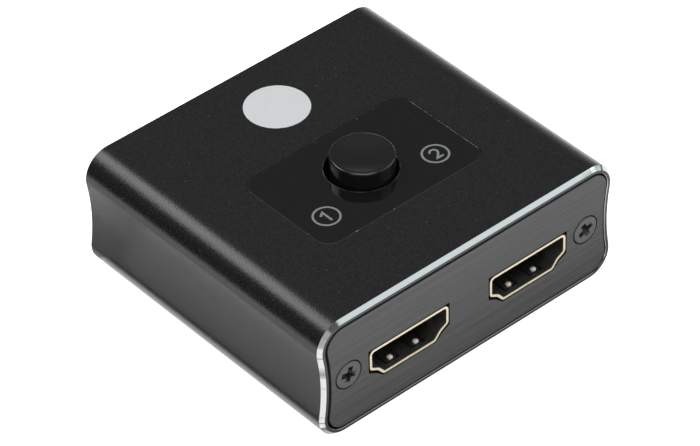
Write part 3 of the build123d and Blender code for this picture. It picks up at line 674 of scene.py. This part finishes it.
# ---- Button cap ----
# Moulded in black plastic with a satin skin and a shallow dish for the finger, pressed on to the
# plunger's stem.
skin_size, skin_relief = 0.09 * mm, 0.0015 * mm
skin_cloud = 2.5 * mm
cap_dark, cap_light = (0.006, 0.006, 0.0065, 1), (0.010, 0.010, 0.011, 1)
cap_skin = Finish("button_plastic", IOR=1.5)
cap_grain = cap_skin.noise(skin_size, detail=3)
cap_cloud = cap_skin.noise(skin_cloud, detail=2)
cap_skin.set(
    Base_Color=cap_skin.mix(cap_grain, cap_dark, cap_light),
    Roughness=0.13 + 0.05 * cap_grain + 0.05 * cap_cloud,
    Normal=cap_skin.bump(cap_grain, skin_relief),
)
dress(cap_skin, "button_cap")


# ---- Inlay and its adhesive ----
# A sheet of black acrylic, polished, with rounded corners, let into the sleeve's top and held by an
# adhesive sheet. Handling leaves specks of dust and chips along its edges. The broken light line along
# the right edge is partly nicks and partly painted highlight, and the patchy light grey ring round the
# hole is a painted highlight.
inlay_right = 15.54 * mm
inlay_middle = -3.85 * mm
edge_centre = (13.0 * mm, 7.1 * mm)
edge_reach = 2.54 * mm
hole_middle = -3.15 * mm
hole_radius = 5.55 * mm
edge_band_width = 0.17 * mm
smear_size, smear_relief = 6 * mm, 0.004 * mm
speck_spacing, speck_share = 1.1 * mm, 0.035
speck_patch, speck_shift, speck_free = 3 * mm, (0.3, 0.1, 0), 0.6
hole_highlight_patch_size, hole_highlight_patch_shift = 1.6 * mm, (0.7, 0.2, 0)
hole_highlight_patch_stops = (0.40, 0.1), (0.60, 1.0)
nick_size, nick_free = 0.22 * mm, 0.5
chip_size, chip_shift, chip_free = 0.5 * mm, (0.4, 0.6, 0), 0.69
gloss_black = (0.0060, 0.0060, 0.0062, 1)
# A light grey painted highlight for the hole's edge, and a grey for specks, chips and the right edge.
hole_highlight_grey, speck_and_highlight_grey = (0.070, 0.070, 0.070, 1), (0.20, 0.20, 0.20, 1)
gloss = Finish("gloss_acrylic", IOR=1.49)
smear = gloss.noise(smear_size, detail=4)
speck_field = gloss.noise(speck_patch, shift=speck_shift) > speck_free
specks_and_edge_highlight = (gloss.cells(speck_spacing) < speck_share) * speck_field
gloss_x, gloss_y, _ = gloss.axes(gloss.place())
from_hole = gloss_y - hole_middle
hole_edge = (gloss_x * gloss_x + from_hole * from_hole) < (hole_radius + edge_band_width) ** 2
hole_highlight_patches = gloss.ramp(gloss.noise(hole_highlight_patch_size, shift=hole_highlight_patch_shift), *hole_highlight_patch_stops)
# Along the right edge: partly nicks, partly a painted highlight where that edge catches light.
nicks_and_edge_highlight = (gloss_x > inlay_right - edge_band_width) * (gloss.noise(nick_size, detail=3) > nick_free)
edge_x = gloss.largest(abs(gloss_x) - edge_centre[0], 0)
edge_y = gloss.largest(abs(gloss_y - inlay_middle) - edge_centre[1], 0)
at_edge = (edge_x * edge_x + edge_y * edge_y) > (edge_reach - edge_band_width) ** 2
chipped = at_edge * (gloss.noise(chip_size, detail=3, shift=chip_shift) > chip_free)
# Specks, chips and the right edge's line, part of it painted highlight.
specks_and_edge_highlight = gloss.largest(gloss.largest(specks_and_edge_highlight, nicks_and_edge_highlight), chipped)
# Painted highlight: a patchy light grey ring round the hole.
acrylic = gloss.mix(hole_edge * hole_highlight_patches, gloss_black, hole_highlight_grey)
gloss.set(
    Base_Color=gloss.mix(specks_and_edge_highlight, acrylic, speck_and_highlight_grey),
    Roughness=0.045 + 0.03 * smear + gloss.largest(0.4 * specks_and_edge_highlight, 0.5 * at_edge),
    Normal=gloss.bump(smear, smear_relief),
)
dress(gloss, "top_inlay")

tape_size, tape_relief = 0.3 * mm, 0.01 * mm
tape_dark, tape_light = (0.55, 0.52, 0.44, 1), (0.70, 0.67, 0.58, 1)
tape = Finish("adhesive_sheet")
tape_grain = tape.noise(tape_size, detail=4)
tape.set(
    Base_Color=tape.mix(tape_grain, tape_dark, tape_light),
    Roughness=0.5 + 0.3 * tape_grain,
    Normal=tape.bump(tape_grain, tape_relief),
)
dress(tape, "inlay_tape")


# ---- Numbers of the two inputs ----
# A ring and a numeral for each input, printed on the inlay in light grey ink over its light guide.
# The ink is a film less than two hundredths of a millimetre thick.
ink_low = 21.196 * mm
ink_high = 21.212 * mm
ring_stroke = 0.33 * mm
numeral_stroke = 0.35 * mm
ring_radius = 2.0 * mm
ring_steps = 96
numeral_height = 2.35 * mm
bowl_middle, bowl_radius = 0.66 * numeral_height, 0.265 * numeral_height
bowl_start, bowl_end, bowl_points = 165, -28, 22
number_places = {"1": (-10.93 * mm, -8.03 * mm), "2": (9.96 * mm, -8.18 * mm)}
ink_size, ink_relief = 0.12 * mm, 0.003 * mm
ink_dark, ink_light = (0.16, 0.168, 0.176, 1), (0.23, 0.238, 0.246, 1)

ink = Finish("light_grey_ink")
ink_grain = ink.noise(ink_size, detail=4)
ink.set(
    Base_Color=ink.mix(ink_grain, ink_dark, ink_light),
    Roughness=0.45 + 0.25 * ink_grain,
    Normal=ink.bump(ink_grain, ink_relief),
)


def stroke(path, width, closed=False):
    """A film of ink along a path of points in the plane. Each point gives two edge points, half the
    width to either side along the bisector of its two runs, lengthened by one over the cosine of half
    the bend so that the width holds. Four corners carried along the path make the solid."""
    path = np.asarray(path, float)
    ahead = np.roll(path, -1, 0) - path
    behind = path - np.roll(path, 1, 0)
    if not closed:
        ahead[-1], behind[0] = behind[-1], ahead[0]
    ahead /= np.linalg.norm(ahead, axis=1, keepdims=True)
    behind /= np.linalg.norm(behind, axis=1, keepdims=True)
    along = ahead + behind
    along /= np.linalg.norm(along, axis=1, keepdims=True)
    half_width = width / 2 / (along * ahead).sum(1)
    aside = np.stack([-along[:, 1], along[:, 0]], 1) * half_width[:, None]
    corners = [(path + aside, ink_high), (path - aside, ink_high), (path - aside, ink_low),
               (path + aside, ink_low)]
    points = np.stack([np.column_stack([xy, np.full(len(xy), z)]) for xy, z in corners], 1)
    count = len(path)
    runs = np.arange(count if closed else count - 1)
    side, next_side = np.arange(4), (np.arange(4) + 1) % 4
    here = runs[:, None] * 4
    there = (runs[:, None] + 1) % count * 4
    faces = np.stack([here + side, here + next_side, there + next_side, there + side], 2)
    faces = faces.reshape(-1, 4).tolist()
    if not closed:
        faces += [[3, 2, 1, 0], [4 * count - 4, 4 * count - 3, 4 * count - 2, 4 * count - 1]]
    return points.reshape(-1, 3), faces


def arc(centre, radius, start, end, count):
    """Points on a circle from one angle in degrees to another."""
    angles = np.radians(np.linspace(start, end, count))
    return np.column_stack([centre[0] + radius * np.cos(angles), centre[1] + radius * np.sin(angles)])


numeral_paths = {
    "1": np.array([(-0.30, 0.70), (0.02, 0.93), (0.02, 0.0)]) * numeral_height,
    "2": np.concatenate([
        arc((0, bowl_middle), bowl_radius, bowl_start, bowl_end, bowl_points),
        np.array([(0.10, 0.36), (-0.17, 0.10), (0.31, 0.083)]) * numeral_height,
    ]),
}
for numeral, (x, y) in number_places.items():
    ring_path = arc((x, y), ring_radius, 0, 360, ring_steps + 1)[:-1]
    ring = stroke(ring_path, ring_stroke, closed=True)
    mesh_piece("ring_" + numeral, *ring, ink, slot="gloss_inlay")
    path = numeral_paths[numeral] + (x, y - numeral_height / 2)
    mesh_piece("numeral_" + numeral, *stroke(path, numeral_stroke), ink, slot="gloss_inlay")


# ---- Plain disc ----
# A plain round spot behind the inlay, etched into the anodised top by laser: the beam leaves fine
# parallel lines in a light satin grey.
disc_place = (0.10 * mm, 15.83 * mm)
disc_radius = 5.07 * mm
disc_low = 21.19 * mm
disc_high = 21.208 * mm
disc_edge = 0.01 * mm
etch_line, etch_size, etch_relief = 0.06 * mm, 0.2 * mm, 0.003 * mm
etch_dark, etch_light = (0.60, 0.625, 0.635, 1), (0.78, 0.805, 0.81, 1)

etched = Finish("laser_etch")
etch_lines = etched.noise(etch_line, stretch=(40, 1, 1), detail=2)
etch_grain = etched.noise(etch_size, detail=4)
etched.set(
    Base_Color=etched.mix(0.6 * etch_lines + 0.4 * etch_grain, etch_dark, etch_light),
    Metallic=0.25 + 0.2 * etch_grain,
    Roughness=0.42 + 0.2 * etch_grain,
    Normal=etched.bump(etch_lines, etch_relief),
)


def turned(profile, place, count=128):
    """A closed solid turned about an upright axis. The profile's points (radius, height) run from the
    axis at the bottom, out and up, to the axis at the top: each ring is the radius times the cosine
    and sine of the angle, and the two ends are single points."""
    profile = np.asarray(profile, float)
    angle = np.arange(count) * 2 * pi / count
    rings = profile[1:-1]
    ring_x = place[0] + rings[:, :1] * np.cos(angle)
    ring_y = place[1] + rings[:, :1] * np.sin(angle)
    ring_z = np.repeat(rings[:, 1:], count, 1)
    ends = [(*place, profile[0, 1]), (*place, profile[-1, 1])]
    points = np.concatenate([np.stack([ring_x, ring_y, ring_z], 2).reshape(-1, 3), ends])
    here = np.arange(count)
    there = (here + 1) % count
    level = (np.arange(len(rings) - 1) * count)[:, None]
    walls = np.stack([level + here, level + there, level + count + there, level + count + here], 2)
    top = (len(rings) - 1) * count
    bottom_pole, top_pole = len(points) - 2, len(points) - 1
    faces = walls.reshape(-1, 4).tolist()
    faces += np.stack([there, here, np.full(count, bottom_pole)], 1).tolist()
    faces += np.stack([top + here, top + there, np.full(count, top_pole)], 1).tolist()
    return points, faces


disc_profile = [(0, disc_low), (disc_radius, disc_low), (disc_radius, disc_high - disc_edge),
                (disc_radius - disc_edge, disc_high), (0, disc_high)]
mesh_piece("etched_disc", *turned(disc_profile, disc_place), etched, slot="anodised_sleeve")
